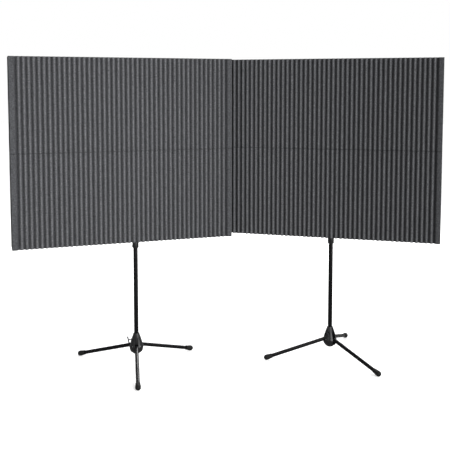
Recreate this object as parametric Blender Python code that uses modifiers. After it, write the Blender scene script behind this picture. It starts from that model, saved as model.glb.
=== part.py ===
# Acoustic isolation wall: two wings of ridged foam panels that swivel on telescopic tripod stands.
# Metres, +Z up, the viewer stands at -Y. The origin is on the floor, under the middle of the whole wall.

import math

import bmesh
import bpy
from mathutils import Vector

# Foam panels, two to a wing, one above the other
PANEL_LENGTH = 1.2192
PANEL_HEIGHT = 0.508
FRONT_FOAM = 0.0508
CORE_BOARD = 0.0095
REAR_FOAM = 0.0508
LEVELS = ("lower", "upper")
PANEL_BASE = 0.720
STACK_GAP = 0.0005

# Ridges across the front of a panel, as many as fill it, with a plain land at each end
RIDGE_PITCH = 0.0261
RIDGE_DEPTH = 0.015
END_LAND = 0.036
RIDGE_POINTS = 6

# How the two wings stand, as seen from above
WING_TURN = {"left": math.radians(19.0), "right": math.radians(-16.0)}
PANEL_SHIFT = {"left": -0.063, "right": 0.0}
TRIPOD_TURN = {"left": math.radians(-82.0), "right": math.radians(-53.0)}
CORNER_GAP = 0.0005
CORNER_SET_BACK = 0.1125

# Gap between pieces that sit on or in each other, and the looser gap where one turns on another
FIT = 0.0003
SWIVEL = 0.0008

# Telescopic column
LOWER_TUBE_RADIUS = 0.0125
TUBE_WALL = 0.0015
BUSH_WALL = 0.0009
BUSH_LENGTH = 0.040
BUSH_RIM = 0.002
MAST_FOOT = 0.110
MAST_TOP_DEPTH = 0.012
MAST_BUSH_LENGTH = 0.025
SLEEVE_WALL = 0.0015
CAP_RIM = 0.003
CAP_PLUG = 0.015

# Height collar and the flange that carries the panels
COLLAR_WALL = 0.0052
COLLAR_HEIGHT = 0.034
COLLAR_LIP = 0.004
COLLAR_CHAMFER = 0.0015
FLANGE_RADIUS = 0.050
FLANGE_PLATE = 0.004
FLANGE_BOSS = 0.006
FLANGE_BOSS_WALL = 0.0062

# Bell-shaped hub that the legs fold into
HUB_BASE = 0.073
HUB_BELLY_RISE = 0.033
HUB_NECK_RISE = 0.077
HUB_NECK_WALL = 0.0037
HUB_CORE_WALL = 0.0037
HUB_BASE_WALL = 0.0092
HUB_BULGE = 0.25
PLUG_DEPTH = 0.009
PLUG_SPIGOT = 0.014

# Folding legs
LEG_COUNT = 3
LEG_RADIUS = 0.0105
LEG_REACH = 0.376
LEG_SIDE_GAP = 0.0007
LEG_CORE_GAP = 0.002
LEG_WEB = 0.018
PIVOT_RISE = 0.007
PIN_RADIUS = 0.003
PIN_RECESS = 0.0024

# Rubber feet, cups pushed over the leg ends and flat where they stand
FOOT_MOUTH_WALL = 0.0019
FOOT_BULGE_WALL = 0.0047
FOOT_FLAT = 0.0015
FOOT_CUP = 0.020
FOOT_HEEL = 0.014
FOOT_NOSE = 0.015

# Clamp screws with a crossbar to turn them by
SCREW_RADIUS = 0.003
SCREW_REACH = 0.040
BAR_RADIUS = 0.0035
BAR_LENGTH = 0.040
BAR_TURN = math.radians(25.0)
SCREW_BOSS_RADIUS = 0.0065
SCREW_BOSS_REACH = 0.0162
HUB_SCREW_DROP = 0.030
HUB_SCREW_TURN = math.radians(60.0)
COLLAR_SCREW_TURN = math.radians(90.0)

# Facets round a turned piece
FINE_STEPS = 20
HUB_STEPS = 24
COARSE_STEPS = 12
ARC_STEPS = 4

MERGE = 0.00001

RIDGE_COUNT = round((PANEL_LENGTH - 2 * END_LAND) / RIDGE_PITCH)
PANEL_THICKNESS = FRONT_FOAM + FIT + CORE_BOARD + FIT + REAR_FOAM
MAST_DEPTH = PANEL_THICKNESS - REAR_FOAM / 2
PANEL_STEP = PANEL_HEIGHT + STACK_GAP
WALL_TOP = PANEL_BASE + PANEL_STEP * len(LEVELS) - STACK_GAP

TUBE_BORE = LOWER_TUBE_RADIUS - TUBE_WALL
BUSH_RADIUS = TUBE_BORE - FIT
BUSH_BORE = BUSH_RADIUS - BUSH_WALL
MAST_RADIUS = BUSH_BORE - FIT
SLEEVE_RADIUS = MAST_RADIUS + SWIVEL + SLEEVE_WALL

FLANGE_BOSS_RADIUS = BUSH_BORE + FLANGE_BOSS_WALL
FLANGE_TOP = PANEL_BASE - FIT
FLANGE_FOOT = FLANGE_TOP - FLANGE_PLATE - FLANGE_BOSS
COLLAR_BORE = LOWER_TUBE_RADIUS + FIT
COLLAR_RADIUS = COLLAR_BORE + COLLAR_WALL
COLLAR_TOP = FLANGE_FOOT - FIT
COLLAR_SHELF = COLLAR_TOP - COLLAR_LIP
COLLAR_FOOT = COLLAR_TOP - COLLAR_HEIGHT
BUSH_TOP = COLLAR_SHELF - FIT
TUBE_TOP = BUSH_TOP - BUSH_RIM - FIT
TUBE_FOOT = HUB_BASE + PLUG_SPIGOT + FIT
COLLAR_SCREW_HEIGHT = (COLLAR_FOOT + TUBE_TOP) / 2

HUB_BELLY = HUB_BASE + HUB_BELLY_RISE
HUB_TOP = HUB_BELLY + HUB_NECK_RISE
HUB_SCREW_HEIGHT = HUB_TOP - HUB_SCREW_DROP
PIVOT_HEIGHT = HUB_BELLY + PIVOT_RISE
HUB_BORE = LOWER_TUBE_RADIUS + FIT
HUB_NECK_RADIUS = HUB_BORE + HUB_NECK_WALL
HUB_CORE_RADIUS = HUB_BORE + HUB_CORE_WALL
HUB_BASE_RADIUS = HUB_BORE + HUB_BASE_WALL
PIVOT_RADIUS = HUB_CORE_RADIUS + LEG_CORE_GAP + LEG_RADIUS
HUB_BELLY_RADIUS = PIVOT_RADIUS + LEG_RADIUS
SLOT_WIDTH = 2 * (LEG_RADIUS + LEG_SIDE_GAP)
PIN_LENGTH = 2 * (math.sqrt(HUB_BELLY_RADIUS ** 2 - PIVOT_RADIUS ** 2) - PIN_RECESS)

FOOT_BORE = LEG_RADIUS + FIT
FOOT_MOUTH_RADIUS = FOOT_BORE + FOOT_MOUTH_WALL
FOOT_BULGE_RADIUS = FOOT_BORE + FOOT_BULGE_WALL
FOOT_AXIS_HEIGHT = FOOT_BULGE_RADIUS - FOOT_FLAT
LEG_RUN = LEG_REACH - PIVOT_RADIUS
LEG_SLOPE = math.atan2(PIVOT_HEIGHT - FOOT_AXIS_HEIGHT, LEG_RUN)
FOOT_CENTRE = LEG_RUN / math.cos(LEG_SLOPE)
LEG_LENGTH = FOOT_CENTRE - FOOT_HEEL


def clear_scene():
    for old in list(bpy.data.objects):
        bpy.data.objects.remove(old, do_unlink=True)


def new_collection(name):
    collection = bpy.data.collections.new(name)
    bpy.context.scene.collection.children.link(collection)
    return collection


def new_material(name, colour, roughness, metallic=0.0):
    material = bpy.data.materials.new(name)
    material.use_nodes = True
    shader = material.node_tree.nodes["Principled BSDF"]
    shader.inputs["Base Color"].default_value = (*colour, 1.0)
    shader.inputs["Roughness"].default_value = roughness
    shader.inputs["Metallic"].default_value = metallic
    material.diffuse_color = (*colour, 1.0)
    return material


clear_scene()
parts = new_collection("acoustic_wall")
cutters = new_collection("acoustic_wall_cutters")

foam_grey = new_material("charcoal_foam", (0.105, 0.108, 0.115), 0.95)
board_black = new_material("core_board", (0.020, 0.020, 0.022), 0.80)
sleeve_grey = new_material("sleeve_plastic", (0.035, 0.035, 0.038), 0.50)
tube_black = new_material("black_steel_tube", (0.012, 0.012, 0.013), 0.35, 0.6)
cast_black = new_material("black_cast_hub", (0.016, 0.016, 0.017), 0.50)
rubber_black = new_material("black_rubber", (0.014, 0.014, 0.014), 0.75)
nylon_grey = new_material("bush_nylon", (0.050, 0.050, 0.055), 0.45)
bright_steel = new_material("pin_steel", (0.400, 0.400, 0.410), 0.30, 1.0)


def add_empty(name, parent, location, turn=0.0):
    empty = bpy.data.objects.new(name, None)
    parts.objects.link(empty)
    empty.parent = parent
    empty.location = location
    empty.rotation_euler = (0.0, 0.0, turn)
    return empty


def add_part(name, mesh, parent, material, location=(0.0, 0.0, 0.0), rotation=(0.0, 0.0, 0.0)):
    part = bpy.data.objects.new(name, mesh)
    parts.objects.link(part)
    part.parent = parent
    part.location = location
    part.rotation_euler = rotation
    mesh.materials.append(material)
    return part


def add_cutter(mesh, parent, location=(0.0, 0.0, 0.0), rotation=(0.0, 0.0, 0.0)):
    cutter = bpy.data.objects.new(mesh.name, mesh)
    cutters.objects.link(cutter)
    cutter.parent = parent
    cutter.location = location
    cutter.rotation_euler = rotation
    cutter.hide_render = True
    cutter.display_type = "WIRE"
    return cutter


def combine(part, cutter, operation):
    boolean = part.modifiers.new(cutter.name, "BOOLEAN")
    boolean.operation = operation
    boolean.object = cutter


def polar(radius, angle, height):
    return (radius * math.cos(angle), radius * math.sin(angle), height)


# Turned shapes: a profile of (radius, height) points, which runs down its outer side

def turn_profile(part, steps):
    screw = part.modifiers.new("turned", "SCREW")
    screw.axis = "Z"
    screw.angle = 2 * math.pi
    screw.steps = steps
    screw.render_steps = steps
    screw.use_smooth_shade = True
    screw.use_merge_vertices = True
    screw.merge_threshold = MERGE


def profile_mesh(name, profile, closed):
    count = len(profile)
    edges = [(i, i + 1) for i in range(count - 1)]
    if closed:
        edges.append((count - 1, 0))
    mesh = bpy.data.meshes.new(name)
    mesh.from_pydata([(radius, 0.0, height) for radius, height in profile], edges, [])
    return mesh


def add_ring(name, profile, parent, material, steps=FINE_STEPS, **place):
    part = add_part(name, profile_mesh(name, profile, True), parent, material, **place)
    turn_profile(part, steps)
    return part


def add_turned(name, profile, parent, material, steps=FINE_STEPS, **place):
    part = add_part(name, profile_mesh(name, profile, False), parent, material, **place)
    turn_profile(part, steps)
    return part


def tube_profile(outer, inner, low, high):
    return [(outer, high), (outer, low), (inner, low), (inner, high)]


def arc(centre_height, radius, height, start, end):
    # Points of an ellipse quarter about the axis, from one angle to another, poles on the axis
    points = []
    for i in range(ARC_STEPS + 1):
        angle = start + (end - start) * i / ARC_STEPS
        across = radius * math.cos(angle)
        points.append((0.0 if across < MERGE else across, centre_height + height * math.sin(angle)))
    return points


def cylinder_mesh(name, radius, length, steps=COARSE_STEPS):
    mesh = bpy.data.meshes.new(name)
    shape = bmesh.new()
    bmesh.ops.create_cone(shape, cap_ends=True, segments=steps, radius1=radius, radius2=radius, depth=length)
    shape.to_mesh(mesh)
    shape.free()
    return mesh


def box_mesh(name, size):
    mesh = bpy.data.meshes.new(name)
    shape = bmesh.new()
    bmesh.ops.create_cube(shape, size=1.0)
    bmesh.ops.scale(shape, vec=size, verts=shape.verts)
    shape.to_mesh(mesh)
    shape.free()
    return mesh


# Flat outlines drawn from above and carried up to a height

def outline_mesh(name, loops, height):
    curve = bpy.data.curves.new(name, "CURVE")
    curve.dimensions = "2D"
    curve.fill_mode = "BOTH"
    curve.extrude = height / 2
    for loop in loops:
        spline = curve.splines.new("POLY")
        spline.points.add(len(loop) - 1)
        for point, (x, y) in zip(spline.points, loop):
            point.co = (x, y, 0.0, 1.0)
        spline.use_cyclic_u = True
    drawn = bpy.data.objects.new(name, curve)
    parts.objects.link(drawn)
    graph = bpy.context.evaluated_depsgraph_get()
    mesh = bpy.data.meshes.new_from_object(drawn.evaluated_get(graph))
    bpy.data.objects.remove(drawn, do_unlink=True)
    shape = bmesh.new()
    shape.from_mesh(mesh)
    bmesh.ops.remove_doubles(shape, verts=shape.verts, dist=MERGE)
    bmesh.ops.recalc_face_normals(shape, faces=shape.faces)
    shape.to_mesh(mesh)
    shape.free()
    mesh.materials.clear()
    return mesh


def rectangle(left, right, near, far):
    return [(left, near), (right, near), (right, far), (left, far)]


def ridged_front(left, right, near, far):
    # The recess is a cosine wave, deepest in each valley, and nothing on the lands at the two ends
    pitch = (right - left - 2 * END_LAND) / RIDGE_COUNT
    steps = (RIDGE_COUNT + 1) * RIDGE_POINTS
    first = left + END_LAND - pitch / 2
    front = []
    for i in range(steps + 1):
        wave = 0.5 - 0.5 * math.cos(2 * math.pi * i / RIDGE_POINTS)
        front.append((first + pitch * i / RIDGE_POINTS, near + RIDGE_DEPTH * wave))
    return [(left, near)] + front + [(right, near), (right, far), (left, far)]


def circle(radius, steps):
    return [polar(radius, 2 * math.pi * i / steps, 0.0)[:2] for i in range(steps)]


# One panel: ridged foam, stiff board and plain foam glued in a stack, with a sleeve for the mast

def build_panel(name, wing, centre, base):
    left = centre - PANEL_LENGTH / 2
    right = centre + PANEL_LENGTH / 2
    front = -MAST_DEPTH
    board = front + FRONT_FOAM + FIT
    rear = board + CORE_BOARD + FIT
    middle = base + PANEL_HEIGHT / 2
    seat = {"parent": wing, "location": (0.0, 0.0, middle)}

    ridged = ridged_front(left, right, front, front + FRONT_FOAM)
    add_part(name + "_front_foam", outline_mesh(name + "_ridges", [ridged], PANEL_HEIGHT),
             material=foam_grey, **seat)

    stiff = rectangle(left, right, board, board + CORE_BOARD)
    add_part(name + "_core_board", outline_mesh(name + "_board", [stiff], PANEL_HEIGHT),
             material=board_black, **seat)

    plain = [rectangle(left, right, rear, rear + REAR_FOAM), circle(SLEEVE_RADIUS + FIT, FINE_STEPS)]
    add_part(name + "_rear_foam", outline_mesh(name + "_rear", plain, PANEL_HEIGHT),
             material=foam_grey, **seat)

    half = PANEL_HEIGHT / 2
    add_ring(name + "_sleeve", tube_profile(SLEEVE_RADIUS, SLEEVE_RADIUS - SLEEVE_WALL, -half, half),
             material=sleeve_grey, **seat)


# Clamp screw: a shank along +X from its tip, with a crossbar near the outer end

def build_screw(name, parent, location, turn, tip):
    axis = add_empty(name + "_axis", parent, location, turn)
    shank_mesh = cylinder_mesh(name, SCREW_RADIUS, SCREW_REACH)
    shank = add_part(name, shank_mesh, axis, bright_steel, rotation=(0.0, math.pi / 2, 0.0),
                     location=(tip + SCREW_REACH / 2, 0.0, 0.0))
    half = BAR_LENGTH / 2 - BAR_RADIUS
    capsule = arc(half, BAR_RADIUS, BAR_RADIUS, math.pi / 2, 0.0)
    capsule += arc(-half, BAR_RADIUS, BAR_RADIUS, 0.0, -math.pi / 2)
    bar = add_cutter(profile_mesh(name + "_bar", capsule, False), axis, (tip + SCREW_REACH, 0.0, 0.0),
                     (BAR_TURN, 0.0, 0.0))
    turn_profile(bar, COARSE_STEPS)
    combine(shank, bar, "UNION")


# Bell hub, with a slot for each leg, a pin hole across each slot and a boss for its clamp screw

def hub_profile():
    points = []
    rise = HUB_TOP - HUB_BELLY
    for i in range(2 * ARC_STEPS):
        t = i / (2 * ARC_STEPS)
        spread = (1 - HUB_BULGE) * t + HUB_BULGE * math.sin(math.pi * t / 2)
        points.append((HUB_NECK_RADIUS + (HUB_BELLY_RADIUS - HUB_NECK_RADIUS) * spread, HUB_TOP - rise * t))
    for i in range(ARC_STEPS + 1):
        u = math.pi / 2 * i / ARC_STEPS
        radius = HUB_BASE_RADIUS + (HUB_BELLY_RADIUS - HUB_BASE_RADIUS) * math.cos(u)
        points.append((radius, HUB_BELLY - (HUB_BELLY - HUB_BASE) * math.sin(u)))
    return points + [(HUB_BORE, HUB_BASE), (HUB_BORE, HUB_TOP)]


def build_hub(side, stand, leg_turns, screw_turn):
    name = side + "_hub"
    hub = add_ring(name, hub_profile(), stand, cast_black, HUB_STEPS)
    across = (0.0, math.pi / 2, screw_turn)

    boss_start = (HUB_BORE + HUB_CORE_RADIUS) / 2
    boss_length = HUB_BORE + SCREW_BOSS_REACH - boss_start
    boss_mesh = cylinder_mesh(name + "_boss", SCREW_BOSS_RADIUS, boss_length)
    boss_place = polar(boss_start + boss_length / 2, screw_turn, HUB_SCREW_HEIGHT)
    combine(hub, add_cutter(boss_mesh, stand, boss_place, across), "UNION")

    slot_depth = 2 * (HUB_BELLY_RADIUS - HUB_CORE_RADIUS)
    slot_size = (slot_depth, SLOT_WIDTH, 2 * HUB_TOP)
    for i, turn in enumerate(leg_turns, 1):
        slot_mesh = box_mesh(f"{name}_slot_{i}", slot_size)
        slot_place = polar(HUB_CORE_RADIUS + slot_depth / 2, turn, HUB_BELLY)
        combine(hub, add_cutter(slot_mesh, stand, slot_place, (0.0, 0.0, turn)), "DIFFERENCE")
        drill_mesh = cylinder_mesh(f"{name}_drill_{i}", PIN_RADIUS + FIT, 2 * HUB_BELLY_RADIUS)
        drill_place = polar(PIVOT_RADIUS, turn, PIVOT_HEIGHT)
        combine(hub, add_cutter(drill_mesh, stand, drill_place, (math.pi / 2, 0.0, turn)), "DIFFERENCE")

    hole_mesh = cylinder_mesh(name + "_screw_hole", SCREW_RADIUS + FIT, SCREW_REACH)
    hole_place = polar(SCREW_REACH / 2 + FIT, screw_turn, HUB_SCREW_HEIGHT)
    combine(hub, add_cutter(hole_mesh, stand, hole_place, across), "DIFFERENCE")
    build_screw(side + "_hub_screw", stand, (0.0, 0.0, HUB_SCREW_HEIGHT), screw_turn, HUB_BORE)

    spigot = LOWER_TUBE_RADIUS - FIT
    dome = arc(HUB_BASE - FIT, HUB_BASE_RADIUS, PLUG_DEPTH, 0.0, -math.pi / 2)
    plug = [(0.0, HUB_BASE + PLUG_SPIGOT), (spigot, HUB_BASE + PLUG_SPIGOT), (spigot, HUB_BASE - FIT)] + dome
    add_turned(side + "_hub_plug", plug, stand, rubber_black)


# Folding leg on its pin, with a rubber foot

def build_leg(side, index, stand, turn):
    name = f"{side}_leg_{index}"
    pivot = add_empty(name + "_pivot", stand, polar(PIVOT_RADIUS, turn, PIVOT_HEIGHT), turn)
    along = (0.0, math.pi / 2 + LEG_SLOPE, 0.0)
    sideways = (math.pi / 2, 0.0, 0.0)

    bore = LEG_RADIUS - TUBE_WALL
    leg_profile = [(0.0, LEG_WEB), (bore, LEG_WEB), (bore, LEG_LENGTH), (LEG_RADIUS, LEG_LENGTH)]
    leg_profile += arc(0.0, LEG_RADIUS, LEG_RADIUS, 0.0, -math.pi / 2)
    leg = add_turned(name, leg_profile, pivot, tube_black, COARSE_STEPS, rotation=along)
    eye_mesh = cylinder_mesh(name + "_eye", PIN_RADIUS + FIT, 4 * LEG_RADIUS)
    combine(leg, add_cutter(eye_mesh, pivot, rotation=sideways), "DIFFERENCE")
    add_part(f"{side}_leg_pin_{index}", cylinder_mesh(f"{side}_leg_pin_{index}", PIN_RADIUS, PIN_LENGTH),
             pivot, bright_steel, rotation=sideways)

    mouth = LEG_LENGTH - FOOT_CUP
    foot_profile = arc(FOOT_CENTRE, FOOT_BULGE_RADIUS, FOOT_NOSE, math.pi / 2, 0.0)
    for i in range(1, ARC_STEPS + 1):
        t = i / ARC_STEPS
        ease = 0.5 + 0.5 * math.cos(math.pi * t)
        radius = FOOT_MOUTH_RADIUS + (FOOT_BULGE_RADIUS - FOOT_MOUTH_RADIUS) * ease
        foot_profile.append((radius, FOOT_CENTRE + (mouth - FOOT_CENTRE) * t))
    foot_profile += [(FOOT_BORE, mouth), (FOOT_BORE, LEG_LENGTH + FIT), (0.0, LEG_LENGTH + FIT)]
    foot = add_turned(f"{side}_foot_{index}", foot_profile, pivot, rubber_black, COARSE_STEPS, rotation=along)
    block = 4 * FOOT_BULGE_RADIUS
    ground_mesh = box_mesh(f"{side}_ground_{index}", (2 * block, block, block))
    ground = add_cutter(ground_mesh, pivot, (LEG_RUN, 0.0, -PIVOT_HEIGHT - block / 2))
    combine(foot, ground, "DIFFERENCE")


# Telescopic column: tube in the hub, mast in the tube, collar to clamp it and flange to carry the panels

def build_column(side, stand, screw_turn):
    tube = add_ring(side + "_lower_tube", tube_profile(LOWER_TUBE_RADIUS, TUBE_BORE, TUBE_FOOT, TUBE_TOP),
                    stand, tube_black)
    across = (0.0, math.pi / 2, screw_turn)
    hole_place = polar(SCREW_REACH / 2, screw_turn, COLLAR_SCREW_HEIGHT)
    hole_mesh = cylinder_mesh(side + "_collar_hole", SCREW_RADIUS + FIT, SCREW_REACH)
    hole = add_cutter(hole_mesh, stand, hole_place, across)
    combine(tube, hole, "DIFFERENCE")

    bush = [(LOWER_TUBE_RADIUS, BUSH_TOP), (LOWER_TUBE_RADIUS, BUSH_TOP - BUSH_RIM),
            (BUSH_RADIUS, BUSH_TOP - BUSH_RIM), (BUSH_RADIUS, BUSH_TOP - BUSH_LENGTH),
            (BUSH_BORE, BUSH_TOP - BUSH_LENGTH), (BUSH_BORE, BUSH_TOP)]
    add_ring(side + "_guide_bush", bush, stand, nylon_grey)

    rim = COLLAR_RADIUS - COLLAR_CHAMFER
    guide = MAST_RADIUS + SWIVEL
    collar_profile = [(rim, COLLAR_TOP), (COLLAR_RADIUS, COLLAR_TOP - COLLAR_CHAMFER),
                      (COLLAR_RADIUS, COLLAR_FOOT + COLLAR_CHAMFER), (rim, COLLAR_FOOT),
                      (COLLAR_BORE, COLLAR_FOOT), (COLLAR_BORE, COLLAR_SHELF),
                      (guide, COLLAR_SHELF), (guide, COLLAR_TOP)]
    collar = add_ring(side + "_collar", collar_profile, stand, cast_black)
    combine(collar, hole, "DIFFERENCE")
    build_screw(side + "_collar_screw", stand, (0.0, 0.0, COLLAR_SCREW_HEIGHT), screw_turn, TUBE_BORE)

    mast_top = WALL_TOP - MAST_TOP_DEPTH
    mast_bore = MAST_RADIUS - TUBE_WALL
    add_ring(side + "_mast", tube_profile(MAST_RADIUS, mast_bore, MAST_FOOT, mast_top), stand, tube_black)
    mast_bush = tube_profile(BUSH_RADIUS, BUSH_BORE, MAST_FOOT, MAST_FOOT + MAST_BUSH_LENGTH)
    add_ring(side + "_mast_bush", mast_bush, stand, nylon_grey)
    plug = mast_bore - FIT
    cap = arc(mast_top + FIT, MAST_RADIUS, CAP_RIM, math.pi / 2, 0.0)
    cap += [(plug, mast_top + FIT), (plug, mast_top - CAP_PLUG), (0.0, mast_top - CAP_PLUG)]
    add_turned(side + "_mast_cap", cap, stand, rubber_black)

    under = FLANGE_TOP - FLANGE_PLATE
    flange = [(FLANGE_RADIUS, FLANGE_TOP), (FLANGE_RADIUS, under), (FLANGE_BOSS_RADIUS, under),
              (FLANGE_BOSS_RADIUS, FLANGE_FOOT), (BUSH_BORE, FLANGE_FOOT), (BUSH_BORE, FLANGE_TOP)]
    add_ring(side + "_flange", flange, stand, cast_black)


def build_stand(side, root, place):
    stand = add_empty(side + "_stand", root, (place.x, place.y, 0.0))
    step = 2 * math.pi / LEG_COUNT
    leg_turns = [TRIPOD_TURN[side] + step * i for i in range(LEG_COUNT)]
    screw_turn = leg_turns[-1] + HUB_SCREW_TURN
    build_hub(side, stand, leg_turns, screw_turn)
    for i, turn in enumerate(leg_turns, 1):
        build_leg(side, i, stand, turn)
    build_column(side, stand, WING_TURN[side] + COLLAR_SCREW_TURN)
    return stand


def build_wing(side, stand):
    wing = add_empty(side + "_wing", stand, (0.0, 0.0, 0.0), WING_TURN[side])
    for i, level in enumerate(LEVELS):
        build_panel(f"{side}_{level}", wing, PANEL_SHIFT[side], PANEL_BASE + PANEL_STEP * i)


def wing_axes(side):
    turn = WING_TURN[side]
    along = Vector((math.cos(turn), math.sin(turn)))
    back = Vector((-math.sin(turn), math.cos(turn)))
    return along, back


def mast_places():
    # The left wing's inner front corner is the start, and the right wing's lies just behind its rear corner
    left_along, left_back = wing_axes("left")
    right_along, right_back = wing_axes("right")
    inner_left = PANEL_SHIFT["left"] + PANEL_LENGTH / 2
    inner_right = PANEL_SHIFT["right"] - PANEL_LENGTH / 2
    corner = left_along * CORNER_GAP + left_back * CORNER_SET_BACK
    left = left_back * MAST_DEPTH - left_along * inner_left
    right = corner + right_back * MAST_DEPTH - right_along * inner_right
    return {"left": left, "right": right}


def centre_on_floor(root):
    # The middle of everything that shows is brought over the origin
    graph = bpy.context.evaluated_depsgraph_get()
    xs = []
    ys = []
    for part in parts.objects:
        if part.type != "MESH":
            continue
        evaluated = part.evaluated_get(graph)
        for vertex in evaluated.data.vertices:
            point = evaluated.matrix_world @ vertex.co
            xs.append(point.x)
            ys.append(point.y)
    root.location = (-(min(xs) + max(xs)) / 2, -(min(ys) + max(ys)) / 2, 0.0)
    bpy.context.view_layer.update()


wall = add_empty("acoustic_wall", None, (0.0, 0.0, 0.0))
for wing_side, mast_place in mast_places().items():
    build_wing(wing_side, build_stand(wing_side, wall, mast_place))
bpy.context.view_layer.update()
centre_on_floor(wall)
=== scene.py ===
# Acoustic isolation wall: ridged foam wings on telescopic tripod stands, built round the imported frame.
# Metres, +Z up, seen from -Y.
import math

import bmesh
import bpy
import numpy as np
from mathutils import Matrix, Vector


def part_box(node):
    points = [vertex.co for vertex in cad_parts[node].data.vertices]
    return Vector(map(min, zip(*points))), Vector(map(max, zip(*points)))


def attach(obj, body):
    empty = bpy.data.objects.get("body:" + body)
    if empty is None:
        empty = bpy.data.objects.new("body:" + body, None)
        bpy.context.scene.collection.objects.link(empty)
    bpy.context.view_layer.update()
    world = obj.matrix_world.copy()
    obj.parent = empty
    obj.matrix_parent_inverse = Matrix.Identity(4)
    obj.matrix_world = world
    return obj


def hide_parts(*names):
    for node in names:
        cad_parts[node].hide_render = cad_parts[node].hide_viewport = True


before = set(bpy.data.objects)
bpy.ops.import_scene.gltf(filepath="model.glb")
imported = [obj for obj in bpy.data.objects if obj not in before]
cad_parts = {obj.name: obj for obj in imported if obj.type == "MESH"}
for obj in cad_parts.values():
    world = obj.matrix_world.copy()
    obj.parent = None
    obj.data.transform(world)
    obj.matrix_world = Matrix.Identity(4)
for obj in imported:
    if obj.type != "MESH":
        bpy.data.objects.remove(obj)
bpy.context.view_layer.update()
scene = bpy.context.scene
print("frame loaded:", len(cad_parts), "nodes")

upAxis = np.array([0.0, 0.0, 1.0])
fitGap = 0.0003  # play between a hole and what goes into it
weldGap = 2e-6  # points nearer than this become one


# Materials

def toLinear(hexText):  # sRGB hex to the linear colour that shaders take
    parts = np.array([int(hexText[i:i + 2], 16) for i in (1, 3, 5)]) / 255
    linear = np.where(parts <= 0.04045, parts / 12.92, ((parts + 0.055) / 1.055) ** 2.4)
    return (*linear.tolist(), 1.0)


def addNode(tree, kind, settings=None, inputs=None, links=None, stops=()):
    # One node with its settings, socket values and links; stops are a colour ramp's positions and tones
    node = tree.nodes.new(kind)
    for key, value in (settings or {}).items():
        setattr(node, key, value)
    for key, value in (inputs or {}).items():
        node.inputs[key].default_value = value
    for key, source in (links or {}).items():
        tree.links.new(source, node.inputs[key])
    for index, (position, tone) in enumerate(stops):
        node.color_ramp.elements[index].position = position
        node.color_ramp.elements[index].color = toLinear(tone)
    return node


def newMaterial(name, sockets):
    material = bpy.data.materials.new(name)
    material.use_nodes = True
    tree = material.node_tree
    shader = tree.nodes["Principled BSDF"]
    for key, value in sockets.items():
        shader.inputs[key].default_value = value
    return material, tree, shader


noiseLow, noiseHigh = 0.3, 0.7  # most of a noise pattern lies between these
foamLook = {
    "flat": "#4b4c4f", "paintedCrestLight": "#7c7d80",  # painted highlight on the ridge crests, the flat tone in the valleys
    "cellMm": 6.0, "cellDepthMm": 1.3,  # real cells are about 1 mm, drawn coarser so that they show
    "cellDark": "#8f8f8f", "cellLight": "#ffffff",
    "pitMm": 2.5, "pitDepthMm": 0.6,
    "paintedGlintMm": 9.0, "paintedGlintTone": "#919296",  # painted glints on a few scattered spots
    "paintedGlintReach": (0.08, 0.24), "paintedGlintStrength": 0.7,
    "paintedGlintChoice": (0.55, 0.95),  # more spots get a painted glint where this is lower
}


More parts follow.
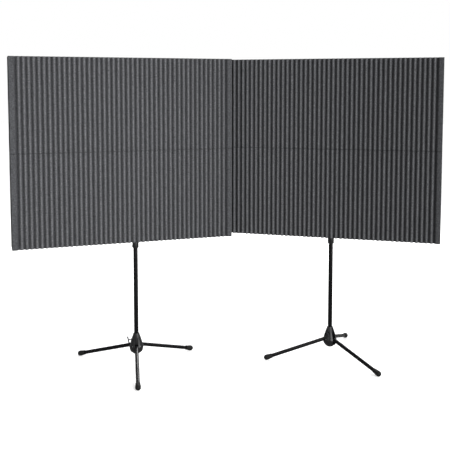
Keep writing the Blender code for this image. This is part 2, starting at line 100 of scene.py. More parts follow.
def makeFoam(look):
    # Wire-cut open-cell polyurethane foam: dull charcoal, no gloss, a fine pitted grain,
    # with a painted highlight along the crests and a few painted glints
    material, tree, shader = newMaterial("charcoalPolyurethaneFoam", {
        "Roughness": 1.0, "Specular IOR Level": 0.08, "Sheen Weight": 0.04, "Sheen Roughness": 0.6})
    where = addNode(tree, "ShaderNodeTexCoord").outputs["Object"]
    # Painted highlight: the colour runs from the flat tone in the valleys to a lighter one on the crests
    paintedCrestLight = addNode(tree, "ShaderNodeAttribute", {"attribute_name": "paintedCrestLight"})
    crestLightRamp = addNode(tree, "ShaderNodeValToRGB", links={"Fac": paintedCrestLight.outputs["Fac"]},
                    stops=((0.0, look["flat"]), (1.0, look["paintedCrestLight"])))
    cells = addNode(tree, "ShaderNodeTexNoise", inputs={
        "Scale": 1000 / look["cellMm"], "Detail": 4.0, "Roughness": 0.65}, links={"Vector": where})
    grain = addNode(tree, "ShaderNodeValToRGB", links={"Fac": cells.outputs["Fac"]},
                    stops=((noiseLow, look["cellDark"]), (noiseHigh, look["cellLight"])))
    # A colour mix has its factor at socket 0 and its two colours at 6 and 7
    tone = addNode(tree, "ShaderNodeMix", {"data_type": "RGBA", "blend_type": "MULTIPLY"}, {0: 1.0},
                   {6: crestLightRamp.outputs["Color"], 7: grain.outputs["Color"]})
    # Painted glints: scattered spots lightened towards a pale tone
    glintSpots = addNode(tree, "ShaderNodeTexVoronoi", inputs={"Scale": 1000 / look["paintedGlintMm"]},
                    links={"Vector": where})
    near = addNode(tree, "ShaderNodeMapRange", inputs={
        "From Min": look["paintedGlintReach"][0], "From Max": look["paintedGlintReach"][1],
        "To Min": look["paintedGlintStrength"], "To Max": 0.0}, links={"Value": glintSpots.outputs["Distance"]})
    chosen = addNode(tree, "ShaderNodeMapRange", inputs={
        "From Min": look["paintedGlintChoice"][0], "From Max": look["paintedGlintChoice"][1]},
        links={"Value": glintSpots.outputs["Color"]})
    paintedGlint = addNode(tree, "ShaderNodeMath", {"operation": "MULTIPLY"}, links={
        0: near.outputs["Result"], 1: chosen.outputs["Result"]})
    withPaintedGlints = addNode(tree, "ShaderNodeMix", {"data_type": "RGBA"}, {7: toLinear(look["paintedGlintTone"])},
                       {0: paintedGlint.outputs[0], 6: tone.outputs[2]})
    tree.links.new(withPaintedGlints.outputs[2], shader.inputs["Base Color"])
    pits = addNode(tree, "ShaderNodeTexVoronoi", inputs={"Scale": 1000 / look["pitMm"]},
                   links={"Vector": where})
    fine = addNode(tree, "ShaderNodeBump", inputs={"Strength": 0.5, "Distance": look["pitDepthMm"] / 1000},
                   links={"Height": pits.outputs["Distance"]})
    bump = addNode(tree, "ShaderNodeBump", inputs={"Strength": 0.7, "Distance": look["cellDepthMm"] / 1000},
                   links={"Height": cells.outputs["Fac"], "Normal": fine.outputs["Normal"]})
    tree.links.new(bump.outputs["Normal"], shader.inputs["Normal"])
    return material


boardLook = {"dark": "#121213", "light": "#232324", "fibreMm": 3.0, "fibreDepthMm": 0.4}


def makeBoard(look):
    # Stained hardboard: dull black with short pressed fibres
    material, tree, shader = newMaterial("blackHardboard", {"Roughness": 0.8, "IOR": 1.5})
    where = addNode(tree, "ShaderNodeTexCoord").outputs["Object"]
    fibres = addNode(tree, "ShaderNodeTexNoise", inputs={
        "Scale": 1000 / look["fibreMm"], "Detail": 5.0, "Roughness": 0.7}, links={"Vector": where})
    tone = addNode(tree, "ShaderNodeValToRGB", links={"Fac": fibres.outputs["Fac"]},
                   stops=((noiseLow, look["dark"]), (noiseHigh, look["light"])))
    tree.links.new(tone.outputs["Color"], shader.inputs["Base Color"])
    bump = addNode(tree, "ShaderNodeBump", inputs={
        "Strength": 0.4, "Distance": look["fibreDepthMm"] / 1000}, links={"Height": fibres.outputs["Fac"]})
    tree.links.new(bump.outputs["Normal"], shader.inputs["Normal"])
    return material


gritDepthMm = 0.3  # height of the fine texture on every coated piece
coatedLooks = {
    # Satin powder coat on steel tube: deep black with a soft grey highlight and faint orange peel
    "blackPowderCoat": {"dark": "#08080a", "light": "#0d0d0f", "metallic": 0.0, "ior": 1.5, "shine": 0.2,
                        "roughness": (0.24, 0.32), "mottleMm": 40.0, "gritMm": 1.6, "bump": 0.2},
    # Glass-filled nylon moulding: satin black with a fine spark-eroded grain
    "blackMouldedNylon": {"dark": "#0e0e10", "light": "#161618", "metallic": 0.0, "ior": 1.53, "shine": 0.5,
                          "roughness": (0.28, 0.38), "mottleMm": 25.0, "gritMm": 0.9, "bump": 0.3},
    # Moulded rubber: dull, a little greyer where it is scuffed
    "blackRubber": {"dark": "#0e0e0e", "light": "#191919", "metallic": 0.0, "ior": 1.52, "shine": 0.3,
                    "roughness": (0.65, 0.85), "mottleMm": 12.0, "gritMm": 1.2, "bump": 0.5},
    # Turned acetal bush: smooth dark grey with a soft shine
    "greyAcetal": {"dark": "#37373a", "light": "#414145", "metallic": 0.0, "ior": 1.48, "shine": 0.5,
                   "roughness": (0.35, 0.45), "mottleMm": 20.0, "gritMm": 1.0, "bump": 0.1},
    # Zinc-plated steel pin: pale grey metal with a slight haze
    "zincPlatedSteel": {"dark": "#77787b", "light": "#8f9093", "metallic": 1.0, "ior": 1.5, "shine": 0.5,
                        "roughness": (0.25, 0.4), "mottleMm": 6.0, "gritMm": 0.8, "bump": 0.1},
    # Black-oxide steel: oily blue-black with a soft shine
    "blackOxideSteel": {"dark": "#26262a", "light": "#343438", "metallic": 1.0, "ior": 1.5, "shine": 0.5,
                        "roughness": (0.3, 0.45), "mottleMm": 8.0, "gritMm": 0.8, "bump": 0.15},
}


def makeCoated(name, look):
    # Paint, plastic, rubber or plated steel: one tone with faint mottling, its own gloss and a fine texture
    material, tree, shader = newMaterial(name, {
        "Metallic": look["metallic"], "IOR": look["ior"], "Specular IOR Level": look["shine"]})
    where = addNode(tree, "ShaderNodeTexCoord").outputs["Object"]
    mottle = addNode(tree, "ShaderNodeTexNoise", inputs={
        "Scale": 1000 / look["mottleMm"], "Detail": 3.0}, links={"Vector": where})
    tone = addNode(tree, "ShaderNodeValToRGB", links={"Fac": mottle.outputs["Fac"]},
                   stops=((noiseLow, look["dark"]), (noiseHigh, look["light"])))
    tree.links.new(tone.outputs["Color"], shader.inputs["Base Color"])
    gloss = addNode(tree, "ShaderNodeMapRange", inputs={
        "From Min": noiseLow, "From Max": noiseHigh,
        "To Min": look["roughness"][0], "To Max": look["roughness"][1]},
        links={"Value": mottle.outputs["Fac"]})
    tree.links.new(gloss.outputs["Result"], shader.inputs["Roughness"])
    grit = addNode(tree, "ShaderNodeTexNoise", inputs={
        "Scale": 1000 / look["gritMm"], "Detail": 2.0}, links={"Vector": where})
    bump = addNode(tree, "ShaderNodeBump", inputs={
        "Strength": look["bump"], "Distance": gritDepthMm / 1000}, links={"Height": grit.outputs["Fac"]})
    tree.links.new(bump.outputs["Normal"], shader.inputs["Normal"])
    return material


finishes = {name: makeCoated(name, look) for name, look in coatedLooks.items()}
finishes["foam"] = makeFoam(foamLook)
finishes["board"] = makeBoard(boardLook)
print("materials made:", len(finishes))


# Meshes from point grids

def gridFaces(rows, columns, closeRows, closeColumns):
    # Quads between neighbouring rows and columns, wrapped round where the grid closes
    r = np.arange(rows if closeRows else rows - 1)
    c = np.arange(columns if closeColumns else columns - 1)
    r, c = np.meshgrid(r, c, indexing="ij")
    nextR = (r + 1) % rows
    nextC = (c + 1) % columns
    corners = [r * columns + c, r * columns + nextC, nextR * columns + nextC, nextR * columns + c]
    return np.stack(corners, -1).reshape(-1, 4)


def gridMesh(name, points, closeRows, closeColumns, caps=(), paintedCrestLight=None):
    # Mesh of a point grid and its end caps, welded and facing outwards; the painted crest highlight goes
    # along as an attribute
    rows, columns = points.shape[:2]
    faces = gridFaces(rows, columns, closeRows, closeColumns).tolist()
    mesh = bpy.data.meshes.new(name)
    mesh.from_pydata(points.reshape(-1, 3).tolist(), [], faces + [list(cap) for cap in caps])
    if paintedCrestLight is not None:
        mesh.attributes.new("paintedCrestLight", "FLOAT", "POINT").data.foreach_set("value", paintedCrestLight.ravel())
    shape = bmesh.new()
    shape.from_mesh(mesh)
    bmesh.ops.remove_doubles(shape, verts=shape.verts, dist=weldGap)
    bmesh.ops.recalc_face_normals(shape, faces=shape.faces)
    shape.to_mesh(mesh)
    shape.free()
    return mesh


def linked(name, mesh):
    piece = bpy.data.objects.new(name, mesh)
    scene.collection.objects.link(piece)
    return piece


def carve(piece, tool, operation):
    # The piece with the tool cut away from it or joined to it, as a plain mesh without slivers
    step = piece.modifiers.new("carve", "BOOLEAN")
    step.operation = operation
    step.object = tool
    graph = bpy.context.evaluated_depsgraph_get()
    mesh = bpy.data.meshes.new_from_object(piece.evaluated_get(graph))
    shape = bmesh.new()
    shape.from_mesh(mesh)
    bmesh.ops.remove_doubles(shape, verts=shape.verts, dist=weldGap)
    bmesh.ops.dissolve_degenerate(shape, edges=shape.edges, dist=weldGap)
    shape.to_mesh(mesh)
    shape.free()
    piece.modifiers.clear()
    piece.data = mesh
    bpy.data.objects.remove(tool, do_unlink=True)


def settle(piece, node, body, finish, crease=38.0):
    # Smooth shading with sharp creases, the finish, and the piece's place in the frame
    piece.data.polygons.foreach_set("use_smooth", np.ones(len(piece.data.polygons), dtype=bool))
    piece.data.set_sharp_from_angle(angle=math.radians(crease))
    piece.data.materials.clear()
    piece.data.materials.append(finishes[finish])
    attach(piece, body)
    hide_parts(node)


def eased(outline, cut, closed=True, steps=4, mostOfSide=0.45):
    # Each corner becomes a short parabola that starts and ends a little way along its two sides
    outline = np.asarray(outline, dtype=float)
    before = np.roll(outline, 1, axis=0) - outline
    after = np.roll(outline, -1, axis=0) - outline
    lengthBefore = np.linalg.norm(before, axis=1, keepdims=True)
    lengthAfter = np.linalg.norm(after, axis=1, keepdims=True)
    reach = np.minimum(cut, mostOfSide * np.minimum(lengthBefore, lengthAfter))
    t = np.linspace(0.0, 1.0, steps + 1)[None, :, None]
    start = (outline + before / lengthBefore * reach)[:, None]
    end = (outline + after / lengthAfter * reach)[:, None]
    soft = (1 - t) ** 2 * start + 2 * t * (1 - t) * outline[:, None] + t ** 2 * end
    if not closed:
        soft[0] = outline[0]
        soft[-1] = outline[-1]
    return soft.reshape(-1, 2)


def axes(direction):
    # The direction and two others square to it
    ahead = np.array(Vector(direction).normalized())
    side = np.array(Vector(direction).orthogonal().normalized())
    return ahead, side, np.cross(ahead, side)


def turned(profile, base, direction, steps=64):
    # Surface of revolution: each (radius, distance) of the profile goes round the axis from base
    profile = np.asarray(profile, dtype=float)
    ahead, side, other = axes(direction)
    angle = np.linspace(0.0, 2 * np.pi, steps, endpoint=False)[:, None]
    ring = np.cos(angle) * side + np.sin(angle) * other
    return np.asarray(base) + profile[:, 1, None, None] * ahead + profile[:, 0, None, None] * ring[None]


def turnedPiece(name, profile, base, direction, closed, steps=64):
    return linked(name, gridMesh(name, turned(profile, base, direction, steps), closed, True))


def drill(piece, radius, base, direction, start, end, operation="DIFFERENCE"):
    # Round hole, or round boss with UNION, from start to end along the axis
    profile = [(0.0, start), (radius, start), (radius, end), (0.0, end)]
    carve(piece, turnedPiece("drill", profile, base, direction, False, 32), operation)


def quarterTurn(radius, rise, steps):
    # Quarter ellipse from the rim to the axis: radius by the cosine, rise by the sine
    u = np.linspace(0.0, np.pi / 2, steps)
    across = radius * np.cos(u)
    across[-1] = 0.0
    return across, rise * np.sin(u)


def ringProfile(outer, inner, low, high):
    return [(outer, high), (outer, low), (inner, low), (inner, high)]


def polar(radius, angle):  # level point at a radius and an angle
    return np.array([radius * math.cos(angle), radius * math.sin(angle), 0.0])


def nodeHeights(node):
    low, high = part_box(node)
    return low.z, high.z


# Where the wings and stands are: turns in degrees, and a seed for each waver

sides = {
    "left": {"wingTurn": 19.0, "panelShift": -0.063, "tripodTurn": -82.0, "seed": 0.0},
    "right": {"wingTurn": -16.0, "panelShift": 0.0, "tripodTurn": -53.0, "seed": 3.7},
}
levels = {"lower": 0.0, "upper": 1.9}  # a seed for each panel of a wing
for sideName, layout in sides.items():
    mastLow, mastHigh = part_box(sideName + "_mast")
    layout["mast"] = np.array([(mastLow.x + mastHigh.x) / 2, (mastLow.y + mastHigh.y) / 2, 0.0])
    layout["turn"] = math.radians(layout["wingTurn"])


def onWing(layout, x, y, z):
    # Points given along the wing, back from its mast and up, in the scene's own axes
    along = polar(1.0, layout["turn"])
    back = polar(1.0, layout["turn"] + math.pi / 2)
    return layout["mast"] + x[..., None] * along + y[..., None] * back + z[..., None] * upAxis


# Foam panels: each face is given as metres back from the mast, so one in front of it is negative

panelLength = 1.2192
foamCrease = 60.0
rim = {"points": 5, "reach": 1.7}  # rows on a rounded edge, and one more this many radii in
ridges = {
    "face": -0.0863, "thick": 0.0508, "edgeRound": 0.003,
    "count": 44, "land": 0.036, "lead": 0.0131,  # the close columns begin this far out on the land
    "depth": 0.0147, "fullness": 1.25,  # over 1 gives broad ridges and narrow valleys
    "perRidge": 14, "rows": 34, "landColumns": 10, "backRows": 12,
    "sway": 0.00025, "swayWaves": ((0.21, 0.13), (0.083, -0.047)), "quickShare": 0.7,
    "swell": 0.03, "swellWave": (0.17, 0.061),
    # Painted crest highlight: the first is its share on the lands, the second the width by each rim where
    # it fades to a painted shade line
    "landCrestLight": 0.34, "seamShadeWidth": 0.0025,
}


def panelEdges(node, layout):
    left = layout["panelShift"] - panelLength / 2
    right = layout["panelShift"] + panelLength / 2
    return left, right, *nodeHeights(node)


def roundOver(distance, radius):
    # How far a rounded edge falls back at a distance from it: a quarter circle, nothing past its radius
    inside = np.clip(1.0 - distance / radius, 0.0, 1.0)
    return radius * (1.0 - np.sqrt(1.0 - inside ** 2))


def rimSteps(edge):
    # Distances in from a rounded edge, at even angles round its quarter circle, and one beyond it
    curve = 1.0 - np.cos(np.linspace(0.0, np.pi / 2, rim["points"]))
    return edge * np.append(curve, rim["reach"])


def spread(low, high, count, edge):
    # Even steps from low to high, with the close ones of a rounded edge at each end
    close = rimSteps(edge)
    inner = np.linspace(low + close[-1], high - close[-1], count)[1:-1]
    return np.concatenate([low + close, inner, (high - close)[::-1]])


def slowWave(x, z, lengths, shift):
    # Sine that runs slantwise over a sheet, with its lengths in metres up and across
    return np.sin(2 * np.pi * (z / lengths[0] + x / lengths[1]) + shift)


def ridgeShape(x, z, left, right, seed):
    # Depth: a cosine wave across the sheet, raised to a power, nothing on the lands,
    # while slow waves sway and swell it
    # Painted crest light: how near a point is to the top of a ridge, fainter on the lands; it sets how much
    # painted highlight the colour gets there
    pitch = (right - left - 2 * ridges["land"]) / ridges["count"]
    first = left + ridges["land"] - pitch / 2
    slow, quick = ridges["swayWaves"]
    sway = ridges["sway"] * (slowWave(x, z, slow, seed)
                             + ridges["quickShare"] * slowWave(x, z, quick, 2 * seed))
    phase = np.clip((x + sway - first) / pitch, 0.0, ridges["count"] + 1.0)
    swell = 1.0 + ridges["swell"] * slowWave(x, z, ridges["swellWave"], seed)
    wave = (0.5 - 0.5 * np.cos(2 * np.pi * phase)) ** ridges["fullness"]
    ridged = (phase > 0.5) & (phase < ridges["count"] + 0.5)
    return ridges["depth"] * swell * wave, (1.0 - wave) * np.where(ridged, 1.0, ridges["landCrestLight"])


def sheetMesh(name, layout, x, z, face, back):
    # Closed sheet: across its length, each column is a loop up the face, back over the top and down behind
    across, up = np.meshgrid(x, z, indexing="ij")
    faceDepth, faceCrestLight = face(across, up)
    behind = np.linspace(z[-1], z[0], ridges["backRows"])
    backShape = (len(x), len(behind))
    loopY = np.concatenate([faceDepth, np.full(backShape, back)], axis=1)
    loopZ = np.concatenate([up, np.broadcast_to(behind, backShape)], axis=1)
    loopX = np.broadcast_to(x[:, None], loopY.shape)
    # The painted crest highlight covers the face only, none behind
    paintedCrestLight = np.concatenate([faceCrestLight, np.zeros(backShape)], axis=1)
    count = loopY.shape[1]
    ends = [range(count), range((len(x) - 1) * count, len(x) * count)]
    return gridMesh(name, onWing(layout, loopX, loopY, loopZ), False, True, ends, paintedCrestLight)


def frontFoam(sideName, layout, level, seed):
    # Ridged sheet: columns close together over the waves and the rounded ends, wider apart on the lands
    node = f"{sideName}_{level}_front_foam"
    left, right, low, high = panelEdges(node, layout)
    edge = ridges["edgeRound"]
    waveStart = left + ridges["land"] - ridges["lead"]
    waveEnd = right - ridges["land"] + ridges["lead"]
    waved = np.linspace(waveStart, waveEnd, (ridges["count"] + 1) * ridges["perRidge"] + 1)
    leftEnd = left + rimSteps(edge)
    rightEnd = (right - rimSteps(edge))[::-1]
    lands = np.linspace(leftEnd[-1], waveStart, ridges["landColumns"])[1:-1]
    x = np.concatenate([leftEnd, lands, waved, (left + right - lands)[::-1], rightEnd])
    z = spread(low, high, ridges["rows"], edge)

    def face(across, up):
        fromEnd = np.minimum(across - left, right - across)
        fromRim = np.minimum(up - low, high - up)
        recess, paintedCrestLight = ridgeShape(across, up, left, right, layout["seed"] + seed)
        depth = ridges["face"] + recess + roundOver(fromEnd, edge) + roundOver(fromRim, edge)
        # The painted crest highlight fades out near the top and bottom rims, leaving a painted shade line
        # along the seam, and is left off the very ends
        return depth, paintedCrestLight * np.clip(fromRim / ridges["seamShadeWidth"], 0.0, 1.0) * (fromEnd > 0.0)

    mesh = sheetMesh(node, layout, x, z, face, ridges["face"] + ridges["thick"])
    piece = linked(f"{sideName}-{level}-ridgedFoam", mesh)
    settle(piece, node, f"{sideName}_{level}_panel", "foam", foamCrease)


board = {"face": -0.0352, "thick": 0.0095, "edgeRound": 0.0008, "columns": 40, "rows": 20}


def coreBoard(sideName, layout, level):
    # Flat sheet whose front edges fall back in a small quarter circle
    node = f"{sideName}_{level}_core_board"
    left, right, low, high = panelEdges(node, layout)
    edge = board["edgeRound"]
    x = spread(left, right, board["columns"], edge)
    z = spread(low, high, board["rows"], edge)

    def face(across, up):
        fromEnd = np.minimum(across - left, right - across)
        fromRim = np.minimum(up - low, high - up)
        depth = board["face"] + roundOver(fromEnd, edge) + roundOver(fromRim, edge)
        return depth, np.zeros_like(depth)

    mesh = sheetMesh(node, layout, x, z, face, board["face"] + board["thick"])
    piece = linked(f"{sideName}-{level}-coreBoard", mesh)
    settle(piece, node, f"{sideName}_{level}_panel", "board")


rear = {"face": -0.0254, "thick": 0.0508, "edgeRound": 0.003, "boreRadius": 0.0121,
        "step": 0.016, "rows": 30, "slack": 0.0005, "slackWave": (0.23, 0.31)}


def rearFoam(sideName, layout, level, seed):
    # Ring of loops: out from the mast's bore over the top, down the rounded outside and back under
    node = f"{sideName}_{level}_rear_foam"
    left, right, low, high = panelEdges(node, layout)
    near, far = rear["face"], rear["face"] + rear["thick"]
    edge = rear["edgeRound"]
    outline = eased([(left, near), (right, near), (right, far), (left, far)], edge)
    runs = np.linalg.norm(np.roll(outline, -1, axis=0) - outline, axis=1)
    stations = np.concatenate([[0.0], np.cumsum(runs)])
    samples = np.union1d(stations[:-1], np.arange(0.0, stations[-1], rear["step"]))
    closedOutline = np.concatenate([outline, outline[:1]])
    x = np.interp(samples, stations, closedOutline[:, 0])
    y = np.interp(samples, stations, closedOutline[:, 1])
    ahead = np.stack([np.roll(x, -1) - np.roll(x, 1), np.roll(y, -1) - np.roll(y, 1)])
    ahead = ahead / np.linalg.norm(ahead, axis=0)
    angle = np.arctan2(y, x)
    boreX = rear["boreRadius"] * np.cos(angle)
    boreY = rear["boreRadius"] * np.sin(angle)
    z = spread(low, high, rear["rows"], edge)[:, None]
    inset = roundOver(np.minimum(z - low, high - z), edge)
    slack = rear["slack"] * slowWave(x, z, rear["slackWave"], seed) * (y > far - edge)  # the back face only
    wallX = x - ahead[1] * (inset + slack + rear["slack"])
    wallY = y + ahead[0] * (inset + slack + rear["slack"])
    loopX = np.concatenate([wallX, boreX[None], boreX[None]])
    loopY = np.concatenate([wallY, boreY[None], boreY[None]])
    ones = np.ones_like(x)
    loopZ = np.concatenate([z * ones, high * ones[None], low * ones[None]])
    mesh = gridMesh(node, onWing(layout, loopX, loopY, loopZ), True, True)
    piece = linked(f"{sideName}-{level}-rearFoam", mesh)
    settle(piece, node, f"{sideName}_{level}_panel", "foam", foamCrease)


sleeve = {"outer": 0.0118, "inner": 0.0103, "ease": 0.0005}


def mastSleeve(sideName, layout, level):
    # Plain ring with eased corners, turned round the mast
    node = f"{sideName}_{level}_sleeve"
    profile = eased(ringProfile(sleeve["outer"], sleeve["inner"], *nodeHeights(node)), sleeve["ease"])
    piece = turnedPiece(f"{sideName}-{level}-mastSleeve", profile, layout["mast"], upAxis, True)
    settle(piece, node, f"{sideName}_{level}_panel", "greyAcetal")


for sideName, layout in sides.items():
    for level, seed in levels.items():
        frontFoam(sideName, layout, level, seed)
        coreBoard(sideName, layout, level)
        rearFoam(sideName, layout, level, seed)
        mastSleeve(sideName, layout, level)
print("panels made:", len(sides) * len(levels))


# Clamp screws

clampScrew = {"radius": 0.003, "reach": 0.040, "barRadius": 0.0035, "barLength": 0.040, "barTurn": 25.0,
              "thread": 0.026, "pitch": 0.00125, "threadDepth": 0.0004, "threadRows": 150, "around": 28}


def makeScrew(name, node, body, base, direction, tip):
    # Threaded shank: the radius dips once a pitch, and the dip runs round as it goes along
    start, end = tip, tip + clampScrew["reach"]
    threadRows = np.linspace(start, start + clampScrew["thread"], clampScrew["threadRows"])
    distance = np.concatenate([[start], threadRows, [end, end]])
    angle = np.linspace(0.0, 2 * np.pi, clampScrew["around"], endpoint=False)
    turn = 2 * np.pi * (distance[:, None] - start) / clampScrew["pitch"] - angle
    threaded = (distance[:, None] - start) < clampScrew["thread"]
    radius = clampScrew["radius"] - clampScrew["threadDepth"] * (0.5 - 0.5 * np.cos(turn)) * threaded
    radius[[0, -1]] = 0.0
    ahead, side, other = axes(direction)
    ring = np.cos(angle)[:, None] * side + np.sin(angle)[:, None] * other
    points = np.asarray(base) + distance[:, None, None] * ahead + radius[..., None] * ring
    piece = linked(name, gridMesh(name, points, False, True))

    # Cross bar with round ends, leaning a little from upright
    tipRadius, tipRise = quarterTurn(clampScrew["barRadius"], clampScrew["barRadius"], 9)
    tipHeight = clampScrew["barLength"] / 2 - clampScrew["barRadius"] + tipRise
    bar = np.concatenate([np.stack([tipRadius[::-1], tipHeight[::-1]], 1),
                          np.stack([tipRadius, -tipHeight], 1)])
    lean = math.radians(clampScrew["barTurn"])
    barway = upAxis * math.cos(lean) - np.cross(upAxis, ahead) * math.sin(lean)
    centre = np.asarray(base) + ahead * end
    carve(piece, turnedPiece("bar", bar, centre, barway, False, clampScrew["around"]), "UNION")
    settle(piece, node, body, "blackOxideSteel")


# Tripod stands

hub = {"base": 0.073, "belly": 0.106, "top": 0.183, "neckRadius": 0.0165, "bellyRadius": 0.0395,
       "baseRadius": 0.022, "bore": 0.0128, "core": 0.0165, "bulge": 0.25,
       "slot": 0.0224, "slotDepth": 0.05, "slotHeight": 0.4,  # deep and high enough to come out of the hub
       "screwHeight": 0.153, "screwTurn": 60.0, "screwHole": 0.05, "pinHole": 0.04,
       "bossRadius": 0.0065, "bossRoot": 0.0152, "bossReach": 0.029}
plug = {"radius": 0.0122, "chamfer": 0.0006, "spigot": 0.014, "dome": 0.009}
leg = {"radius": 0.0105, "wall": 0.0015, "pivotRadius": 0.029, "pivotHeight": 0.113, "slope": 0.27792,
       "length": 0.34685, "web": 0.018, "pinRadius": 0.003, "pinLength": 0.0488, "pinEase": 0.0006,
       "pinHole": 0.02}
foot = {"centre": 0.36085, "bulge": 0.0155, "mouth": 0.0127, "nose": 0.015, "cup": 0.020, "bore": 0.0108}


def hubProfile():
    # Neck flares out to the belly in an easy curve, then turns in to the base in a quarter ellipse
    t = np.linspace(0.0, 1.0, 28)[:-1]
    flare = (1 - hub["bulge"]) * t + hub["bulge"] * np.sin(np.pi * t / 2)
    upper = np.stack([hub["neckRadius"] + (hub["bellyRadius"] - hub["neckRadius"]) * flare,
                      hub["top"] - (hub["top"] - hub["belly"]) * t], 1)
    u = np.linspace(0.0, np.pi / 2, 18)
    lower = np.stack([hub["baseRadius"] + (hub["bellyRadius"] - hub["baseRadius"]) * np.cos(u),
                      hub["belly"] - (hub["belly"] - hub["base"]) * np.sin(u)], 1)
    bore = [(hub["bore"], hub["base"]), (hub["bore"], hub["top"])]
    return np.concatenate([upper, lower, bore])


def slotTool(middle, turn):
    # Block that cuts one leg's slot, its inner face a flat beside the hub's core
    inner, outer, half = hub["core"], hub["core"] + hub["slotDepth"], hub["slot"] / 2
    corners = np.array([(inner, -half), (outer, -half), (outer, half), (inner, half)])
    outward, across = polar(1.0, turn), polar(1.0, turn + math.pi / 2)
    flat = corners[:, :1] * outward + corners[:, 1:] * across
    lift = upAxis * hub["slotHeight"] / 2
    points = np.stack([middle + flat - lift, middle + flat + lift])
    return linked("slot", gridMesh("slot", points, False, True, [range(4), range(4, 8)]))


def legPivot(layout, turn):
    return layout["mast"] + polar(leg["pivotRadius"], turn) + upAxis * leg["pivotHeight"]


def makeHub(sideName, layout, turns):
    # Turned bell with a round boss for the screw, three slots, and the holes for pins and screw
    mast = layout["mast"]
    piece = turnedPiece(f"{sideName}-hub", hubProfile(), mast, upAxis, True, 96)
    screwBase = mast + upAxis * hub["screwHeight"]
    outward = polar(1.0, turns[-1] + math.radians(hub["screwTurn"]))
    drill(piece, hub["bossRadius"], screwBase, outward, hub["bossRoot"], hub["bossReach"], "UNION")
    for turn in turns:
        carve(piece, slotTool(mast + upAxis * hub["belly"], turn), "DIFFERENCE")
        drill(piece, leg["pinRadius"] + fitGap, legPivot(layout, turn), polar(1.0, turn + math.pi / 2),
              -hub["pinHole"], hub["pinHole"])
    drill(piece, clampScrew["radius"] + fitGap, screwBase, outward, 0.0, hub["screwHole"])
    settle(piece, f"{sideName}_hub", "stands", "blackMouldedNylon")
    screwNode = f"{sideName}_hub_screw"
    makeScrew(f"{sideName}-hubScrew", screwNode, screwNode, screwBase, outward, hub["bore"])


def makePlug(sideName, layout):
    # Domed bottom plug, a quarter ellipse, with a spigot that sits in the tube
    seat = hub["base"] - fitGap
    top = hub["base"] + plug["spigot"]
    domeRadius, domeDrop = quarterTurn(hub["baseRadius"], plug["dome"], 14)
    spigot = [(0.0, top), (plug["radius"] - plug["chamfer"], top), (plug["radius"], top - plug["chamfer"]),
              (plug["radius"], seat)]
    profile = np.concatenate([spigot, np.stack([domeRadius, seat - domeDrop], 1)])
    piece = turnedPiece(f"{sideName}-hubPlug", profile, layout["mast"], upAxis, False)
    settle(piece, f"{sideName}_hub_plug", "stands", "blackRubber")


def makeLeg(sideName, layout, index, turn):
    body = f"{sideName}_leg_{index}"
    pivot = legPivot(layout, turn)
    down = polar(math.cos(leg["slope"]), turn) - upAxis * math.sin(leg["slope"])
    across = polar(1.0, turn + math.pi / 2)

    # Tube with a round root, open at the far end inside the foot
    rootRadius, rootRise = quarterTurn(leg["radius"], leg["radius"], 12)
    bore = leg["radius"] - leg["wall"]
    openEnd = [(0.0, leg["web"]), (bore, leg["web"]), (bore, leg["length"]), (leg["radius"], leg["length"])]
    profile = np.concatenate([openEnd, np.stack([rootRadius, -rootRise], 1)])
    tube = turnedPiece(f"{sideName}-leg{index}", profile, pivot, down, False, 48)
    drill(tube, leg["pinRadius"] + fitGap, pivot, across, -leg["pinHole"], leg["pinHole"])
    settle(tube, f"{sideName}_leg_{index}", body, "blackPowderCoat")

    # Straight pin with eased ends
    half = leg["pinLength"] / 2
    pinRadius = leg["pinRadius"]
    pinProfile = eased([(0.0, -half), (pinRadius, -half), (pinRadius, half), (0.0, half)], leg["pinEase"],
                       closed=False)
    pin = turnedPiece(f"{sideName}-legPin{index}", pinProfile, pivot, across, False, 32)
    settle(pin, f"{sideName}_leg_pin_{index}", "stands", "zincPlatedSteel")

    # Rubber cup: a round nose, a bulge and an easy taper to the mouth, cut flat where it stands
    noseRadius, noseRise = quarterTurn(foot["bulge"], foot["nose"], 12)
    nose = np.stack([noseRadius, foot["centre"] + noseRise], 1)[::-1]
    t = np.linspace(0.0, 1.0, 16)[1:]
    mouth = leg["length"] - foot["cup"]
    taper = np.stack([foot["mouth"] + (foot["bulge"] - foot["mouth"]) * (0.5 + 0.5 * np.cos(np.pi * t)),
                      foot["centre"] + (mouth - foot["centre"]) * t], 1)
    seat = leg["length"] + fitGap
    inside = [(foot["bore"], mouth), (foot["bore"], seat), (0.0, seat)]
    points = turned(np.concatenate([nose, taper, inside]), pivot, down, 48)
    points[..., 2] = np.maximum(points[..., 2], 0.0)
    cup = linked(f"{sideName}-foot{index}", gridMesh("foot", points, False, True))
    settle(cup, f"{sideName}_foot_{index}", body, "blackRubber")


column = {"tubeRadius": 0.0125, "tubeBore": 0.0110, "mastRadius": 0.0095, "mastBore": 0.0080,
          "tubeEase": 0.0005, "bushRim": 0.002, "bushEase": 0.0004,
          "slide": 0.0098,  # bore that runs on the mast
          "collarRadius": 0.018, "collarBore": 0.0128, "collarLip": 0.0103, "lipThick": 0.004,
          "collarEase": 0.0018, "screwHeight": 0.6891, "screwHole": 0.04,
          "capRise": 0.003, "capChamfer": 0.001,
          "flangeRadius": 0.050, "flangeBoss": 0.016, "flangeThick": 0.004, "flangeEase": 0.0012}


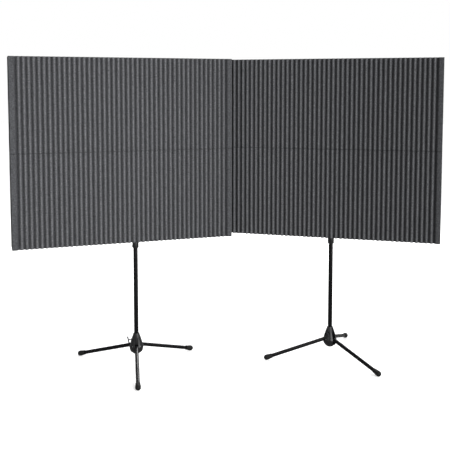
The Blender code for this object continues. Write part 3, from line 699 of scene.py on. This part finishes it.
def makeColumn(sideName, layout):
    # Tubes, bushes, collar, cap and flange: stepped profiles with eased corners, turned round the mast
    mast = layout["mast"]
    outward = polar(1.0, layout["turn"] + math.pi / 2)
    screwBase = mast + upAxis * column["screwHeight"]
    screwHole = (clampScrew["radius"] + fitGap, screwBase, outward, 0.0, column["screwHole"])

    low, high = nodeHeights(f"{sideName}_lower_tube")
    profile = eased(ringProfile(column["tubeRadius"], column["tubeBore"], low, high), column["tubeEase"])
    tube = turnedPiece(f"{sideName}-lowerTube", profile, mast, upAxis, True)
    drill(tube, *screwHole)
    settle(tube, f"{sideName}_lower_tube", "stands", "blackPowderCoat")

    low, high = nodeHeights(f"{sideName}_guide_bush")
    snug = column["tubeBore"] - fitGap
    rimLow = high - column["bushRim"]
    profile = eased([(column["tubeRadius"], high), (column["tubeRadius"], rimLow),
                     (snug, rimLow), (snug, low),
                     (column["slide"], low), (column["slide"], high)], column["bushEase"])
    guideBush = turnedPiece(f"{sideName}-guideBush", profile, mast, upAxis, True)
    settle(guideBush, f"{sideName}_guide_bush", "stands", "greyAcetal")

    low, high = nodeHeights(f"{sideName}_collar")
    lipLow = high - column["lipThick"]
    profile = eased([(column["collarRadius"], high), (column["collarRadius"], low),
                     (column["collarBore"], low), (column["collarBore"], lipLow),
                     (column["collarLip"], lipLow), (column["collarLip"], high)], column["collarEase"])
    collar = turnedPiece(f"{sideName}-collar", profile, mast, upAxis, True)
    drill(collar, *screwHole)
    settle(collar, f"{sideName}_collar", "stands", "blackMouldedNylon")
    screwNode = f"{sideName}_collar_screw"
    makeScrew(f"{sideName}-collarScrew", screwNode, screwNode, screwBase, outward, column["tubeBore"])

    body = f"{sideName}_mast"
    low, high = nodeHeights(f"{sideName}_mast")
    profile = eased(ringProfile(column["mastRadius"], column["mastBore"], low, high), column["tubeEase"])
    mastTube = turnedPiece(f"{sideName}-mast", profile, mast, upAxis, True)
    settle(mastTube, f"{sideName}_mast", body, "blackPowderCoat")

    low, high = nodeHeights(f"{sideName}_mast_bush")
    profile = eased(ringProfile(snug, column["slide"], low, high), column["bushEase"])
    mastBush = turnedPiece(f"{sideName}-mastBush", profile, mast, upAxis, True)
    settle(mastBush, f"{sideName}_mast_bush", body, "greyAcetal")

    low, high = nodeHeights(f"{sideName}_mast_cap")
    domeLow = high - column["capRise"]
    domeRadius, domeRise = quarterTurn(column["mastRadius"], column["capRise"], 10)
    dome = np.stack([domeRadius, domeLow + domeRise], 1)[::-1]
    plugRadius = column["mastBore"] - fitGap
    stem = [(plugRadius, domeLow), (plugRadius, low + column["capChamfer"]),
            (plugRadius - column["capChamfer"], low), (0.0, low)]
    cap = turnedPiece(f"{sideName}-mastCap", np.concatenate([dome, stem]), mast, upAxis, False)
    settle(cap, f"{sideName}_mast_cap", body, "blackRubber")

    low, high = nodeHeights(f"{sideName}_flange")
    under = high - column["flangeThick"]
    profile = eased([(column["flangeRadius"], high), (column["flangeRadius"], under),
                     (column["flangeBoss"], under), (column["flangeBoss"], low),
                     (column["slide"], low), (column["slide"], high)], column["flangeEase"])
    flange = turnedPiece(f"{sideName}-flange", profile, mast, upAxis, True, 96)
    settle(flange, f"{sideName}_flange", body, "blackMouldedNylon")


for sideName, layout in sides.items():
    legTurns = [math.radians(layout["tripodTurn"] + 120.0 * i) for i in range(3)]
    makeHub(sideName, layout, legTurns)
    makePlug(sideName, layout)
    for index, turn in enumerate(legTurns, 1):
        makeLeg(sideName, layout, index, turn)
    makeColumn(sideName, layout)
print("stands made:", len(sides))


# Camera, floor and light

cameraView = {
    "place": (-0.0182, -4.2226, 1.5639), "pitch": 4.57,  # degrees below the horizon
    "lens": 60.04, "sensor": 36.0, "shiftX": -0.0041, "shiftY": -0.1678,
}


def makeCamera(view):
    data = bpy.data.cameras.new("frontView")
    data.lens = view["lens"]
    data.sensor_width = view["sensor"]
    data.shift_x = view["shiftX"]
    data.shift_y = view["shiftY"]
    camera = bpy.data.objects.new("frontView", data)
    camera.location = view["place"]
    camera.rotation_euler = (math.radians(90.0 - view["pitch"]), 0.0, 0.0)
    scene.collection.objects.link(camera)
    scene.camera = camera


studio = {
    "white": "#ffffff", "sky": 0.3,  # what the white surround adds from all sides
    "floorTone": "#f4f4f4", "floorGlow": 0.45, "floorSize": 60.0,
}


def makeFloor():
    half = studio["floorSize"] / 2
    corners = [(-half, -half, 0), (half, -half, 0), (half, half, 0), (-half, half, 0)]
    mesh = bpy.data.meshes.new("floor")
    mesh.from_pydata(corners, [], [(0, 1, 2, 3)])
    floor = linked("floor", mesh)
    # A little glow of its own keeps the floor white up to the horizon
    material, _, _ = newMaterial("paleFloor", {
        "Base Color": toLinear(studio["floorTone"]), "Roughness": 0.9,
        "Emission Color": toLinear(studio["white"]), "Emission Strength": studio["floorGlow"]})
    mesh.materials.append(material)
    floor.visible_diffuse = False
    floor.visible_glossy = False


def makeSky():
    # The white surround shows to the camera in full, and lights the object less
    world = bpy.data.worlds.new("whiteSurround")
    world.use_nodes = True
    tree = world.node_tree
    tree.nodes.clear()
    white = toLinear(studio["white"])
    seen = addNode(tree, "ShaderNodeBackground", inputs={"Color": white, "Strength": 1.0})
    lighting = addNode(tree, "ShaderNodeBackground", inputs={"Color": white, "Strength": studio["sky"]})
    path = addNode(tree, "ShaderNodeLightPath")
    mix = addNode(tree, "ShaderNodeMixShader", links={
        0: path.outputs["Is Camera Ray"], 1: lighting.outputs[0], 2: seen.outputs[0]})
    addNode(tree, "ShaderNodeOutputWorld", links={"Surface": mix.outputs[0]})
    scene.world = world


lamps = {
    # Broad key from the right front
    "keyLight": {"kind": "SUN", "place": (4.0, -4.5, 3.7), "aim": (0.0, 0.0, 1.1),
                 "power": 3.05, "spread": 60.0},
    # Weak fill from the left
    "fillLight": {"kind": "AREA", "place": (-3.6, -5.6, 2.4), "aim": (0.4, 0.0, 1.1),
                  "power": 42.0, "spread": 180.0, "size": 2.0},
    # Small soft one that lifts the left wing
    "wingLight": {"kind": "AREA", "place": (0.9, -2.9, 1.5), "aim": (-0.8, 0.0, 1.25),
                  "power": 2.8, "spread": 45.0, "size": 1.2},
    # One behind, for the back
    "rearLight": {"kind": "AREA", "place": (0.5, 4.5, 3.6), "aim": (0.0, 0.0, 1.0),
                  "power": 260.0, "spread": 180.0, "size": 3.0},
}


def makeLamp(name, lamp):
    data = bpy.data.lights.new(name, lamp["kind"])
    data.energy = lamp["power"]
    if lamp["kind"] == "SUN":
        data.angle = math.radians(lamp["spread"])
    else:
        data.shape = "DISK"
        data.size = lamp["size"]
        data.spread = math.radians(lamp["spread"])
    light = bpy.data.objects.new(name, data)
    light.location = lamp["place"]
    ray = Vector(lamp["aim"]) - Vector(lamp["place"])
    light.rotation_euler = ray.to_track_quat("-Z", "Y").to_euler()
    scene.collection.objects.link(light)


makeCamera(cameraView)
makeFloor()
makeSky()
for lampName, lamp in lamps.items():
    makeLamp(lampName, lamp)
scene.view_settings.view_transform = "Standard"
print("stage made")
